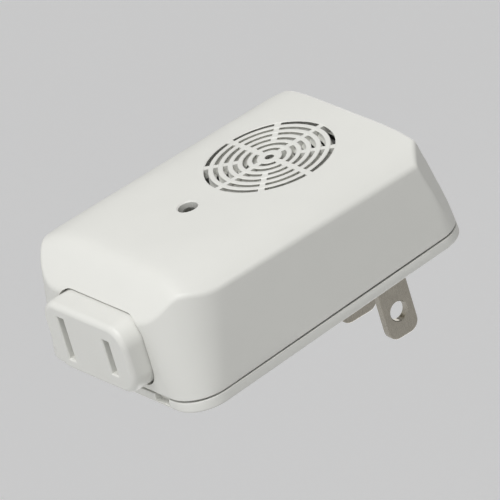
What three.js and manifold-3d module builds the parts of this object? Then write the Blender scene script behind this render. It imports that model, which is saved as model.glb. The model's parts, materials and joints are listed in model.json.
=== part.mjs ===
// Ultrasonic pest repeller that plugs straight into a wall socket, with a pass-through outlet below.
// Millimetres. X runs across the face, +Y into the wall, +Z up.
// The origin is on the back face, midway between the two blades.

import * as THREE from 'three';
import { mergeVertices } from 'three/addons/utils/BufferGeometryUtils.js';
import Module from 'manifold-3d';

// ---- Case ----
const DEPTH = 23.5;           // wall plane to the crown of the face
const CROWN = 4;              // the long front edges sit this far behind the crown
const CROWN_POWER = 5;        // the face stays nearly flat, then falls away to its edges
const BOTTOM = -52.2;         // end wall, which the outlet comes through
const FRONT = { half: 22.2, top: 5.7, lowRadius: 13.3, topRadius: 1.5 };  // outline at the face
const REAR = { half: 23, top: 9.8, lowRadius: 6, topRadius: 6.7 };      // outline at the wall
const RIM = [-0.5, -3.6];     // Y of the back edge at the bottom and at the top: it slants
const RIM_THICK = 1.9;        // edge of the rear cover
const CREASE_Z = -46.2;       // where the face turns down towards the end wall
const SLOPE_Y = -16.6;        // where that slope reaches the end wall
const CREASE_ROUND = 3.6;     // length of the rounding on each side of the crease
const FACET_TOP_X = 18.5;     // where the cut top corner meets the top end, at the front
const FACET_SIDE_Z = 2.5;     // where the cut top corner meets the side, at the front
const FACET_END_Y = -7;       // depth at which the cut corner fades out
const WALL = 1.8;
const GAP = 0.3;              // clearance between neighbouring pieces
const PAD = { half: 14.2, bottom: -38, top: 7.9, radius: 3, wall: 1.5 };  // raised back of the cover
const LIP = { reach: 1.3, thick: 1.2 };   // inner rim of the rear cover, in front of its plate
const BOSS_REACH = 2.1;       // screw bosses, in front of the plate

// ---- Sound grille and indicator ----
const GRILLE_Z = -11.5;
const RING_FIRST = 2.6;       // middle radius of the smallest ring of slots
const RING_PITCH = 1.7;
const RING_COUNT = 6;
const RING_SLOT = 0.8;        // slot width
const RIB = 1.1;              // radial ribs that break the rings
const HUB_HOLE = 0.8;         // radius of the centre hole
const LED_Z = -29.4;
const LED_RADIUS = 1.5;

// ---- Blades: two-pin plug, 1.5 mm stock ----
const BLADE_X = 6.35;
const BLADE_OUT = 16.5;
const BLADE_THICK = 1.5;
const LINE_WIDTH = 6.35;
const NEUTRAL_WIDTH = 7.9;
const BLADE_TIP = 2;          // corner rounding at the tip
const BLADE_HOLE_Y = 11.7;
const BLADE_HOLE = 1.75;
const SHOULDER = [-7.6, -5.3]; // wider part of a blade, trapped in the carrier
const TAB_Y = -11.2;           // inner end of a blade
const CARRIER = { halfX: 11, halfZ: 6.1, front: -8, rear: -2 };

// ---- Pass-through outlet ----
const OUTLET_X = 1;           // middle of the block and between its two slots
const OUTLET_Y = -10.55;
const BLOCK_HALF_X = 11.8;
const BLOCK_HALF_Y = 6.55;
const BLOCK_RADIUS = 4;
const BLOCK_ROUND = 1;        // rounding around the end face
const BLOCK_END = -56.2;
const BLOCK_TOP = -43.4;
const BLOCK_FLOOR = 1.5;      // thickness of the end wall of the block
const CAVITY_HALF_X = 10.4;
const CAVITY_HALF_Y = 4.55;
const WINDOW_TOP = -47.9;     // the opening for the block also clears the sloping wall
const EAR = 1.2;              // side ears that stop the block inside the end wall
const SLOT_X = 6.35;          // each slot, from the middle
const SLOT_WIDTH = 1.9;
const SLOT_EXTRA = 0.35;      // slot length over the width of the blade
const SHUTTER_SPAN = [4.9, 7.8]; // a shutter covers this stretch, from the middle
const SHUTTER_THICK = 1.5;
const SHUTTER_RAMP = 0.9;
const SHUTTER_HALF_Y = 4.25;
const SPRING_SPAN = [0.7, 4.6];
const SPRING_RADIUS = 0.85;
const SPRING_WIRE = 0.16;     // radius of the wire
const SPRING_TURNS = 4;

// ---- Board, speaker and fixings ----
const BOARD = { halfX: 17, bottom: -41.5, top: -2, front: -14.2, rear: -12.6 };
const MOUNT_Y = BOARD.front - GAP; // components stand on this plane
const POSTS = [[17.5, 1], [-17.5, 1], [17.5, -44.6], [-17.5, -44.6]];
const BOARD_POSTS = [[15, -20], [-15, -20]];
const BUS_Y = [-11.6, -8.4];
const BUS_X = [7.4, 8];
const CONTACT_Z = BLOCK_END + 4.9;  // mouth of the two contacts
const CONTACT_HIGH = 6.6;

const FAR = 30;               // further out than any surface of the case

const wasm = await Module();
wasm.setup();

// ---- Solids and cuts ----

function solid(geometry) {
  const bare = geometry.clone();
  bare.deleteAttribute('normal');
  bare.deleteAttribute('uv');
  const merged = mergeVertices(bare, 1e-4);
  return new wasm.Manifold(new wasm.Mesh({
    numProp: 3,
    vertProperties: new Float32Array(merged.attributes.position.array),
    triVerts: new Uint32Array(merged.index.array),
  }));
}

function geometryOf(body) {
  const mesh = body.getMesh();
  const geometry = new THREE.BufferGeometry();
  geometry.setAttribute('position', new THREE.BufferAttribute(mesh.vertProperties, 3));
  geometry.setIndex(new THREE.BufferAttribute(mesh.triVerts, 1));
  return geometry;
}

function joined(bodies) {
  return bodies.reduce((sum, body) => sum.add(body));
}

// ---- Outlines and prisms ----

function extrude(shape, depth, curveSegments = 8) {
  return new THREE.ExtrudeGeometry(shape, { depth, bevelEnabled: false, curveSegments });
}

// A shape drawn in X and Z, as a prism between two depths.
function alongY(shape, low, high, curveSegments) {
  return extrude(shape, high - low, curveSegments).rotateX(Math.PI / 2).translate(0, high, 0);
}

// A shape drawn in X and Y, as a prism between two heights.
function alongZ(shape, low, high, curveSegments) {
  return extrude(shape, high - low, curveSegments).translate(0, 0, low);
}

// A shape drawn in Y and Z, as a prism across.
function alongX(shape, low, high, curveSegments) {
  const turn = new THREE.Matrix4().makeBasis(
    new THREE.Vector3(0, 1, 0), new THREE.Vector3(0, 0, 1), new THREE.Vector3(1, 0, 0));
  return extrude(shape, high - low, curveSegments).applyMatrix4(turn).translate(low, 0, 0);
}

function polygon(points) {
  return new THREE.Shape(points.map(([x, y]) => new THREE.Vector2(x, y)));
}

function disc(x, y, radius) {
  const shape = new THREE.Shape();
  shape.absarc(x, y, radius, 0, 2 * Math.PI, false);
  return shape;
}

// A rectangle with a radius for its lower and its upper corners.
function roundedRectangle(left, right, low, high, lowRadius, highRadius = lowRadius) {
  const shape = new THREE.Shape();
  shape.absarc(right - lowRadius, low + lowRadius, lowRadius, -Math.PI / 2, 0, false);
  shape.absarc(right - highRadius, high - highRadius, highRadius, 0, Math.PI / 2, false);
  shape.absarc(left + highRadius, high - highRadius, highRadius, Math.PI / 2, Math.PI, false);
  shape.absarc(left + lowRadius, low + lowRadius, lowRadius, Math.PI, 1.5 * Math.PI, false);
  return shape;
}

function box(x, y, z) {
  const geometry = new THREE.BoxGeometry(x[1] - x[0], y[1] - y[0], z[1] - z[0]);
  return geometry.translate((x[0] + x[1]) / 2, (y[0] + y[1]) / 2, (z[0] + z[1]) / 2);
}

// A cylinder whose axis runs along Y.
function rod(radius, low, high, x = 0, z = 0, segments = 14) {
  return new THREE.CylinderGeometry(radius, radius, high - low, segments).translate(x, (low + high) / 2, z);
}

function turned(points, segments = 28) {
  return new THREE.LatheGeometry(points.map(([r, y]) => new THREE.Vector2(r, y)), segments);
}

function wire(points, radius, steps, sides = 8) {
  const path = new THREE.CatmullRomCurve3(points.map((p) => new THREE.Vector3(...p)));
  const section = disc(0, 0, radius);
  return new THREE.ExtrudeGeometry(section, { extrudePath: path, steps, curveSegments: sides });
}

// ---- The form of the case ----

// The outline seen from the front, at a depth between the face and the wall.
function outlineAt(y) {
  const share = Math.min(1, (y + DEPTH) / DEPTH);
  const level = {};
  for (const key of Object.keys(FRONT)) level[key] = FRONT[key] + (REAR[key] - FRONT[key]) * share;
  return level;
}

function outlineSlab(inset, low, high) {
  const { half, top, lowRadius, topRadius } = outlineAt(low);
  return solid(alongY(roundedRectangle(inset - half, half - inset, BOTTOM + inset, top - inset,
    lowRadius - inset, Math.max(topRadius - inset, 0.2)), low, high, 6));
}

// The outline widens and its corners change from the face to the wall.
function plan(inset) {
  return wasm.Manifold.hull([outlineSlab(inset, -DEPTH - 1, -DEPTH), outlineSlab(inset, 0, 2)]);
}

// Everything behind the slanted plane that runs a distance behind the rim.
function behindRim(distance) {
  const slant = Math.atan2(RIM[0] - RIM[1], REAR.top - BOTTOM);
  const space = new THREE.BoxGeometry(6 * FAR, 6 * FAR, 6 * FAR).translate(0, 3 * FAR, 0);
  return solid(space.rotateX(slant).translate(0, RIM[0] + distance, BOTTOM));
}

function rimAt(z) {
  return RIM[0] + (RIM[1] - RIM[0]) * (z - BOTTOM) / (REAR.top - BOTTOM);
}

function crownDrop(x) {
  return CROWN * (Math.abs(x) / REAR.half) ** CROWN_POWER;
}

// Cross-section: a face that is nearly flat and falls away to its long edges, open to the wall.
function crownPrism(inset) {
  const reach = REAR.half + 2;
  const steps = 24;
  const points = [[FAR, FAR], [-FAR, FAR]];
  for (let i = 0; i <= steps; i += 1) {
    const x = reach * (2 * i / steps - 1);
    points.push([x, inset - DEPTH + crownDrop(x)]);
  }
  return alongZ(polygon(points), BOTTOM - FAR, REAR.top + FAR);
}

// Long section: the face turns over a rounded crease and slopes down to the end wall.
function slopePrism(inset) {
  const slope = new THREE.Vector2(SLOPE_Y + DEPTH, BOTTOM - CREASE_Z);
  const face = inset - DEPTH;
  const creaseZ = CREASE_Z + inset * 0.6;
  const footY = face + slope.x * (BOTTOM + inset - creaseZ) / slope.y;
  const ease = slope.clone().setLength(CREASE_ROUND);
  const shape = new THREE.Shape();
  shape.moveTo(FAR, BOTTOM + inset);
  shape.lineTo(FAR, REAR.top + FAR);
  shape.lineTo(face, REAR.top + FAR);
  shape.lineTo(face, creaseZ + CREASE_ROUND);
  shape.quadraticCurveTo(face, creaseZ, face + ease.x, creaseZ + ease.y);
  shape.lineTo(footY, BOTTOM + inset);
  return alongX(shape, -REAR.half - 5, REAR.half + 5, 4);
}

// The block of space outside one cut top corner.
function cornerCutter(side, inset) {
  const { half, top, topRadius } = outlineAt(FACET_END_Y);
  const round = topRadius * (1 - Math.SQRT1_2);
  const edge = outlineAt(CROWN - DEPTH).half;
  const onTop = new THREE.Vector3(side * FACET_TOP_X, crownDrop(FACET_TOP_X) - DEPTH, FRONT.top);
  const onSide = new THREE.Vector3(side * edge, crownDrop(edge) - DEPTH, FACET_SIDE_Z);
  const atRear = new THREE.Vector3(side * (half - round), FACET_END_Y, top - round);
  const plane = new THREE.Plane().setFromCoplanarPoints(onTop, onSide, atRear);
  if (plane.normal.z < 0) plane.negate();
  const turn = new THREE.Quaternion().setFromUnitVectors(new THREE.Vector3(0, 0, 1), plane.normal);
  const middle = onTop.add(onSide).add(atRear).divideScalar(3);
  const place = middle.addScaledVector(plane.normal, FAR / 2 - inset);
  const cutter = new THREE.BoxGeometry(2 * FAR, 2 * FAR, FAR).applyQuaternion(turn);
  return cutter.translate(place.x, place.y, place.z);
}

// The whole outer form, drawn in by inset on every side; it runs on behind the wall plane.
function caseForm(inset) {
  return plan(inset)
    .intersect(solid(crownPrism(inset)))
    .intersect(solid(slopePrism(inset)))
    .subtract(solid(cornerCutter(1, inset)))
    .subtract(solid(cornerCutter(-1, inset)));
}

// ---- Front housing ----

function ringSlot(radius, from, to) {
  const shape = new THREE.Shape();
  shape.absarc(0, GRILLE_Z, radius + RING_SLOT / 2, from, to, false);
  shape.absarc(0, GRILLE_Z, radius - RING_SLOT / 2, to, from, true);
  return shape;
}

// Rings of slots; the ribs that break them line up on radii.
function grilleSlots() {
  const shapes = [disc(0, GRILLE_Z, HUB_HOLE)];
  for (let ring = 0; ring < RING_COUNT; ring += 1) {
    const radius = RING_FIRST + ring * RING_PITCH;
    const count = ring < 2 ? 4 : 8;
    const step = 2 * Math.PI / count;
    const trim = RIB / 2 / radius;
    for (let i = 0; i < count; i += 1) {
      shapes.push(ringSlot(radius, i * step + trim, (i + 1) * step - trim));
    }
  }
  return solid(alongY(shapes, -DEPTH - 1, -DEPTH + WALL + 2.5, 3));
}

function outletWindow() {
  const shape = roundedRectangle(OUTLET_X - BLOCK_HALF_X - GAP, OUTLET_X + BLOCK_HALF_X + GAP,
    OUTLET_Y - BLOCK_HALF_Y - GAP, OUTLET_Y + BLOCK_HALF_Y + GAP, BLOCK_RADIUS);
  return solid(alongZ(shape, BOTTOM - 5, WINDOW_TOP, 5));
}

function frontHousing() {
  const front = -DEPTH + 1;
  const posts = [
    ...POSTS.map(([x, z]) => rod(2.5, front, rimAt(z) - RIM_THICK - BOSS_REACH - GAP, x, z)),
    ...BOARD_POSTS.map(([x, z]) => rod(2.2, front, MOUNT_Y, x, z)),
  ];
  const pilots = [
    ...POSTS.map(([x, z]) => rod(1.3, rimAt(z) - 12.5, 0, x, z, 8)),
    ...BOARD_POSTS.map(([x, z]) => rod(1.2, -19.4, 0, x, z, 8)),
  ];
  const outside = caseForm(0).subtract(behindRim(-RIM_THICK - GAP));
  const shell = outside.subtract(caseForm(WALL)).add(joined(posts.map(solid)).intersect(outside));
  return geometryOf(shell
    .subtract(grilleSlots())
    .subtract(solid(rod(LED_RADIUS + GAP, -DEPTH - 1, -DEPTH + 4, 0, LED_Z, 16)))
    .subtract(outletWindow())
    .subtract(joined(pilots.map(solid))));
}

// ---- Rear cover ----

function bladeWidth(side) {
  return side > 0 ? LINE_WIDTH : NEUTRAL_WIDTH;
}

function bladeSlot(side, low, high, extra = GAP) {
  const halfZ = bladeWidth(side) / 2 + extra;
  const x = side * BLADE_X;
  const halfX = BLADE_THICK / 2 + GAP;
  return solid(box([x - halfX, x + halfX], [low, high], [-halfZ, halfZ]));
}

// A plate that follows the slanted rim, with a hollow pad that rests on the wall.
function rearCover() {
  const lipInset = WALL + GAP;
  const plateFront = behindRim(-RIM_THICK);
  const plate = caseForm(0).intersect(plateFront).subtract(behindRim(0));
  const pad = alongY(roundedRectangle(-PAD.half, PAD.half, PAD.bottom, PAD.top, PAD.radius), -4, 0, 4);
  const pocket = alongY(roundedRectangle(PAD.wall - PAD.half, PAD.half - PAD.wall, PAD.bottom + PAD.wall,
    PAD.top - PAD.wall, PAD.radius - PAD.wall), -FAR, -1.7, 4);
  const lip = caseForm(lipInset).subtract(caseForm(lipInset + LIP.thick))
    .intersect(behindRim(-RIM_THICK - LIP.reach)).subtract(behindRim(-1))
    .subtract(solid(box([-CARRIER.halfX - 1, CARRIER.halfX + 1], [-FAR, 0], [0, FAR])));
  const bosses = joined(POSTS.map(([x, z]) => solid(
    rod(2.9, rimAt(z) - RIM_THICK - BOSS_REACH, rimAt(z) - 1.2, x, z)))).intersect(caseForm(lipInset + 0.1));
  const holes = joined(POSTS.flatMap(([x, z]) => [
    solid(rod(1.5, rimAt(z) - 6, 1, x, z, 10)), solid(rod(2.7, rimAt(z) - 2.2, 1, x, z, 16)),
  ]));
  const pryNotch = solid(box([11.2, 15.2], [-FAR, RIM[0] - 0.6], [BOTTOM - 1, BOTTOM + 1.1]));
  return geometryOf(plate
    .add(solid(pad).intersect(plateFront))
    .subtract(solid(pocket))
    .add(lip)
    .add(bosses)
    .subtract(holes)
    .subtract(pryNotch)
    .subtract(bladeSlot(1, -FAR, 1))
    .subtract(bladeSlot(-1, -FAR, 1)));
}

// ---- Plug ----

// A blade with a rounded tip, a hole near it, shoulders inside and a narrow inner tab.
function blade(side) {
  const half = bladeWidth(side) / 2;
  const shoulder = half + 1.2;
  const tab = 2;
  const shape = new THREE.Shape();
  shape.moveTo(TAB_Y, -tab);
  shape.lineTo(SHOULDER[0], -tab);
  shape.lineTo(SHOULDER[0], -shoulder);
  shape.lineTo(SHOULDER[1], -shoulder);
  shape.lineTo(SHOULDER[1], -half);
  shape.absarc(BLADE_OUT - BLADE_TIP, BLADE_TIP - half, BLADE_TIP, -Math.PI / 2, 0, false);
  shape.absarc(BLADE_OUT - BLADE_TIP, half - BLADE_TIP, BLADE_TIP, 0, Math.PI / 2, false);
  shape.lineTo(SHOULDER[1], half);
  shape.lineTo(SHOULDER[1], shoulder);
  shape.lineTo(SHOULDER[0], shoulder);
  shape.lineTo(SHOULDER[0], tab);
  shape.lineTo(TAB_Y, tab);
  shape.holes.push(disc(BLADE_HOLE_Y, 0, BLADE_HOLE));
  return alongX(shape, -BLADE_THICK / 2, BLADE_THICK / 2, 6);
}

function bladeCarrier() {
  const outline = roundedRectangle(-CARRIER.halfX, CARRIER.halfX, -CARRIER.halfZ, CARRIER.halfZ, 1.5);
  const body = solid(alongY(outline, CARRIER.front, CARRIER.rear, 3));
  return geometryOf([1, -1].reduce((rest, side) => rest
    .subtract(bladeSlot(side, CARRIER.front - 1, CARRIER.rear + 1))
    .subtract(bladeSlot(side, CARRIER.front - 1, SHOULDER[1] + GAP, 1.5)), body));
}

// A strip from a blade's inner tab down to the contact below, with a foot over the contact.
function bus(side, contactX) {
  const [inner, outer] = BUS_X;
  const foot = Math.abs(contactX) - 1.15;
  const low = CONTACT_Z + CONTACT_HIGH + 0.5;
  const shape = polygon([
    [foot, low], [outer, low], [outer, 2.5], [inner, 2.5], [inner, low + 0.6], [foot, low + 0.6],
  ].map(([x, z]) => [side * x, z]));
  return alongY(shape, BUS_Y[0], BUS_Y[1]);
}

// ---- Outlet ----

function outletSlot(side) {
  const half = (bladeWidth(side) + SLOT_EXTRA) / 2;
  const x = OUTLET_X + side * SLOT_X;
  return solid(box([x - SLOT_WIDTH / 2, x + SLOT_WIDTH / 2], [OUTLET_Y - half, OUTLET_Y + half],
    [BLOCK_END - 1, BLOCK_END + BLOCK_FLOOR + 0.5]));
}

function outletBlock() {
  const inset = BLOCK_ROUND;
  const outline = roundedRectangle(-BLOCK_HALF_X + inset, BLOCK_HALF_X - inset,
    -BLOCK_HALF_Y + inset, BLOCK_HALF_Y - inset, BLOCK_RADIUS - inset);
  const rounded = new THREE.ExtrudeGeometry(outline, {
    depth: BLOCK_TOP - BLOCK_END, curveSegments: 4,
    bevelSize: inset, bevelThickness: inset, bevelSegments: 3,
  }).translate(OUTLET_X, OUTLET_Y, BLOCK_END + inset);
  const trim = box([-FAR, FAR], [-FAR, FAR], [BLOCK_END - 5, BLOCK_TOP]);
  const earReach = BLOCK_HALF_X + EAR;
  const ears = box([OUTLET_X - earReach, OUTLET_X + earReach], [OUTLET_Y - 4, OUTLET_Y + 4],
    [BOTTOM + WALL + GAP, BOTTOM + WALL + GAP + 1.5]);
  const cavity = roundedRectangle(OUTLET_X - CAVITY_HALF_X, OUTLET_X + CAVITY_HALF_X,
    OUTLET_Y - CAVITY_HALF_Y, OUTLET_Y + CAVITY_HALF_Y, 1);
  const floor = BLOCK_END + BLOCK_FLOOR;
  const rib = box([OUTLET_X - 0.4, OUTLET_X + 0.4],
    [OUTLET_Y - CAVITY_HALF_Y - 0.5, OUTLET_Y + CAVITY_HALF_Y + 0.5], [floor - 0.5, floor + 1.9]);
  return geometryOf(solid(rounded).intersect(solid(trim)).add(solid(ears))
    .subtract(solid(alongZ(cavity, floor, BLOCK_TOP + 1, 3)))
    .add(solid(rib))
    .subtract(outletSlot(1))
    .subtract(outletSlot(-1)));
}

// A shutter with a ramp on its outer side, which a blade pushes towards the middle.
function shutter(side) {
  const [near, far] = SHUTTER_SPAN;
  const low = BLOCK_END + BLOCK_FLOOR + GAP;
  const high = low + SHUTTER_THICK;
  const shape = polygon([[near, low], [far, low + SHUTTER_RAMP], [far, high], [near, high]]
    .map(([x, z]) => [OUTLET_X + side * x, z]));
  return alongY(shape, OUTLET_Y - SHUTTER_HALF_Y, OUTLET_Y + SHUTTER_HALF_Y);
}

function shutterSpring(side) {
  const [near, far] = SPRING_SPAN;
  const z = BLOCK_END + BLOCK_FLOOR + GAP + SHUTTER_THICK / 2 + 0.2;
  const points = [];
  const perTurn = 8;
  for (let i = 0; i <= SPRING_TURNS * perTurn; i += 1) {
    const turn = 2 * Math.PI * i / perTurn;
    const along = near + SPRING_WIRE + (far - near - 2 * SPRING_WIRE) * i / (SPRING_TURNS * perTurn);
    points.push([OUTLET_X + side * along, OUTLET_Y + SPRING_RADIUS * Math.cos(turn),
      z + SPRING_RADIUS * Math.sin(turn)]);
  }
  return wire(points, SPRING_WIRE, SPRING_TURNS * perTurn, 3);
}

function contactCarrier() {
  const low = BLOCK_END + BLOCK_FLOOR + GAP + SHUTTER_THICK + GAP + 0.3;
  const outline = roundedRectangle(OUTLET_X - CAVITY_HALF_X + GAP, OUTLET_X + CAVITY_HALF_X - GAP,
    OUTLET_Y - SHUTTER_HALF_Y, OUTLET_Y + SHUTTER_HALF_Y, 0.7);
  const body = solid(alongZ(outline, low, BLOCK_TOP - 1.5, 3));
  return geometryOf([1, -1].reduce((rest, side) => {
    const x = OUTLET_X + side * SLOT_X;
    return rest.subtract(solid(box([x - 1.9, x + 1.9], [OUTLET_Y - 3.6, OUTLET_Y + 3.6],
      [low - 1, BLOCK_TOP])));
  }, body));
}

// A spring clip: two leaves that grip a blade, flared at the mouth and joined at the top.
function contact() {
  const leaf = 0.4;
  const shape = polygon([
    [-1.5, 0], [-0.8, 1.4], [-1.2, CONTACT_HIGH], [1.2, CONTACT_HIGH], [0.8, 1.4], [1.5, 0],
    [1.5 - leaf, 0], [0.8 - leaf, 1.4], [1.2 - leaf, CONTACT_HIGH - leaf],
    [leaf - 1.2, CONTACT_HIGH - leaf], [leaf - 0.8, 1.4], [leaf - 1.5, 0],
  ]);
  return alongY(shape, -2.8, 2.8);
}

// ---- Circuit board and what stands on it ----

function board() {
  const outline = roundedRectangle(-BOARD.halfX, BOARD.halfX, BOARD.bottom, BOARD.top, 1);
  BOARD_POSTS.forEach(([x, z]) => outline.holes.push(disc(x, z, 1.2)));
  return alongY(outline, BOARD.front, BOARD.rear, 3);
}

function led() {
  const foot = MOUNT_Y - 3;
  const tip = -DEPTH + 0.4;
  const shoulder = tip + LED_RADIUS;
  const dome = [];
  for (let i = 0; i <= 5; i += 1) {
    const turn = i / 5 * Math.PI / 2;
    dome.push([LED_RADIUS * Math.sin(turn), shoulder - LED_RADIUS * Math.cos(turn)]);
  }
  return turned([...dome, [LED_RADIUS, foot - 1], [LED_RADIUS + 0.4, foot - 1], [LED_RADIUS + 0.4, foot],
    [0, foot]], 16);
}

function ledHolder() {
  return ringSection(1, 2.4, MOUNT_Y - 2.7, MOUNT_Y, 16);
}

function roundedBlock(x, y, z, radius) {
  return alongY(roundedRectangle(x[0], x[1], z[0], z[1], radius), y[0], y[1], 3);
}

function electrolytic() {
  const top = MOUNT_Y - 5.4;
  return turned([[0, top], [2.8, top], [3.1, top + 0.3], [3.1, top + 4.4], [2.8, top + 4.7],
    [3.1, MOUNT_Y - 0.4], [3.1, MOUNT_Y], [0, MOUNT_Y]], 16);
}

function coil() {
  const top = MOUNT_Y - 5;
  return turned([[0, top], [3.6, top], [3.6, top + 0.8], [2.9, top + 0.9], [2.9, MOUNT_Y - 0.9],
    [3.6, MOUNT_Y - 0.8], [3.6, MOUNT_Y], [0, MOUNT_Y]], 16);
}

// An axial component: a round body with slightly swollen ends, lying on its side.
function axial(radius, length) {
  const end = length / 2;
  return turned([[0, -end], [radius * 0.8, -end], [radius, 0.25 - end], [radius, end * 0.45 - end],
    [radius * 0.88, end * 0.6 - end], [radius * 0.88, end * 0.4], [radius, end * 0.55],
    [radius, end - 0.25], [radius * 0.8, end], [0, end]], 8);
}

// ---- Speaker, turned about the middle of the grille ----

function ringSection(inner, outer, low, high, segments = 28) {
  return turned([[inner, low], [outer, low], [outer, high], [inner, high], [inner, low]], segments);
}

function speakerCone() {
  return turned([[0, -17.2], [2, -17.2], [10.3, -18.9], [10.3, -18.5], [2.1, -16.8], [0, -16.8]]);
}

function speakerRing() {
  return turned([[10.7, -19], [12.9, -19], [12.9, -15.7], [11.4, -15.7], [11.4, -18.2], [10.7, -18.2],
    [10.7, -19]]);
}

// ---- Screws ----

function screw(headRadius, headHeight, shankRadius, length) {
  const profile = [[0, -length], [shankRadius * 0.4, -length], [shankRadius, 1.2 - length],
    [shankRadius, 0], [headRadius, 0], [headRadius, headHeight * 0.6], [headRadius * 0.8, headHeight],
    [0, headHeight]];
  const arm = headRadius * 0.6;
  const deep = [headHeight * 0.45, headHeight + 1];
  const cross = solid(box([-arm, arm], deep, [-0.25, 0.25]))
    .add(solid(box([-0.25, 0.25], deep, [-arm, arm])));
  return geometryOf(solid(turned(profile, 12)).subtract(cross));
}

// ---- Assembly ----

const finish = {
  white: [0xe6e6e1, 0.45, 0], cream: [0xd8d6cc, 0.5, 0], nickel: [0xb9b4a6, 0.3, 1],
  brass: [0xc9a45a, 0.35, 1], steel: [0xa9abad, 0.35, 1], board: [0x2f6b3c, 0.5, 0],
  black: [0x1c1c1e, 0.5, 0], lens: [0x3a3a36, 0.15, 0], foam: [0x9a9a96, 0.95, 0],
  cone: [0xc4c4be, 0.6, 0], film: [0xc4882c, 0.4, 0], sleeve: [0x23324f, 0.35, 0],
  resistor: [0xcbb28a, 0.5, 0], copper: [0xa8622f, 0.35, 1], red: [0xa52420, 0.5, 0],
};

const repeller = new THREE.Group();

function place(parent, name, geometry, look, position = [0, 0, 0], rotation = [0, 0, 0]) {
  const [color, roughness, metalness] = finish[look];
  const mesh = new THREE.Mesh(geometry, new THREE.MeshStandardMaterial({ color, roughness, metalness }));
  mesh.name = name;
  mesh.position.set(...position);
  mesh.rotation.set(...rotation);
  parent.add(mesh);
}

function group(position) {
  const made = new THREE.Group();
  made.position.set(...position);
  repeller.add(made);
  return made;
}

const sides = [[1, 'line'], [-1, 'neutral']];

place(repeller, 'front_housing', frontHousing(), 'white');
place(repeller, 'rear_cover', rearCover(), 'white');
place(repeller, 'blade_carrier', bladeCarrier(), 'cream');
place(repeller, 'outlet_block', outletBlock(), 'white');
place(repeller, 'contact_carrier', contactCarrier(), 'cream');
place(repeller, 'circuit_board', board(), 'board');

for (const [side, name] of sides) {
  const contactX = OUTLET_X + side * SLOT_X;
  place(repeller, `${name}_blade`, blade(side), 'nickel', [side * BLADE_X, 0, 0]);
  place(repeller, `${name}_bus`, bus(side, contactX), 'brass');
  place(repeller, `${name}_contact`, contact(), 'brass', [contactX, OUTLET_Y, CONTACT_Z]);
  place(repeller, `${name}_shutter`, shutter(side), 'white');
  place(repeller, `${name}_shutter_spring`, shutterSpring(side), 'steel');
  const lead = [[6.8, -10, -24], [6, -10, -24], [5, -10.8, -24], [4.8, -12.2, -24]]
    .map(([x, y, z]) => [side * x, y, z]);
  place(repeller, `${name}_lead`, wire(lead, 0.6, 8, 4), side > 0 ? 'black' : 'white');
}

const speaker = group([0, 0, GRILLE_Z]);
place(speaker, 'speaker_gasket', ringSection(10.5, 12.6, -20.1, -19.3), 'foam');
place(speaker, 'speaker_ring', speakerRing(), 'black');
place(speaker, 'speaker_cone', speakerCone(), 'cone');
place(speaker, 'piezo_disc', rod(9, -16.5, -16.2, 0, 0, 28), 'brass');
place(speaker, 'piezo_ceramic', rod(6.5, -15.9, -15.65, 0, 0, 24), 'cream');
place(speaker, 'speaker_back', rod(12.7, -15.35, -14.6, 0, 0, 28), 'black');

const components = group([0, 0, 0]);
place(components, 'indicator_led', led(), 'lens', [0, 0, LED_Z]);
place(components, 'led_holder', ledHolder(), 'cream', [0, 0, LED_Z]);
place(components, 'film_capacitor', roundedBlock([-16, -4.2], [MOUNT_Y - 5.2, MOUNT_Y], [-36.8, -31.4], 0.6),
  'film');
place(components, 'driver_chip', box([-15.2, -5.8], [MOUNT_Y - 3.4, MOUNT_Y], [-30, -24]), 'black');
place(components, 'electrolytic_capacitor', electrolytic(), 'sleeve', [10.8, 0, -35.8]);
place(components, 'boost_coil', coil(), 'copper', [10.6, 0, -27.6]);
place(components, 'fuse_resistor', axial(1.4, 7), 'resistor', [0.4, MOUNT_Y - 1.5, -38.4],
  [0, 0, Math.PI / 2]);
for (let i = 0; i < 4; i += 1) {
  place(components, `diode_${i + 1}`, axial(0.85, 3.6), 'black', [2.2 * i - 2.4, MOUNT_Y - 0.95, -34.3],
    [Math.PI / 2, 0, 0]);
}
for (let i = 0; i < 3; i += 1) {
  place(components, `resistor_${i + 1}`, axial(0.85, 5), 'resistor', [0, BOARD.rear + 1.25, -16 - 3.4 * i],
    [0, 0, Math.PI / 2]);
}
for (const [x, name] of [[3, 'red'], [-3, 'black']]) {
  const route = [[x, -17.5, -24.8], [x, -17.3, -26], [x, -16, -26.6], [x, -14.6, -26.6]];
  place(components, `speaker_lead_${name}`, wire(route, 0.5, 8, 4), name);
}

POSTS.forEach(([x, z], i) => {
  place(repeller, `cover_screw_${i + 1}`, screw(2.3, 1.4, 1, 9), 'steel', [x, rimAt(z) - 1.9, z]);
});
BOARD_POSTS.forEach(([x, z], i) => {
  place(repeller, `board_screw_${i + 1}`, screw(1.9, 1.2, 0.85, 6.4), 'steel', [x, -12.3, z]);
});

export default repeller;
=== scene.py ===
import bmesh
import bpy
import json
import math
import numpy as np
from mathutils import Matrix, Vector


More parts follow.
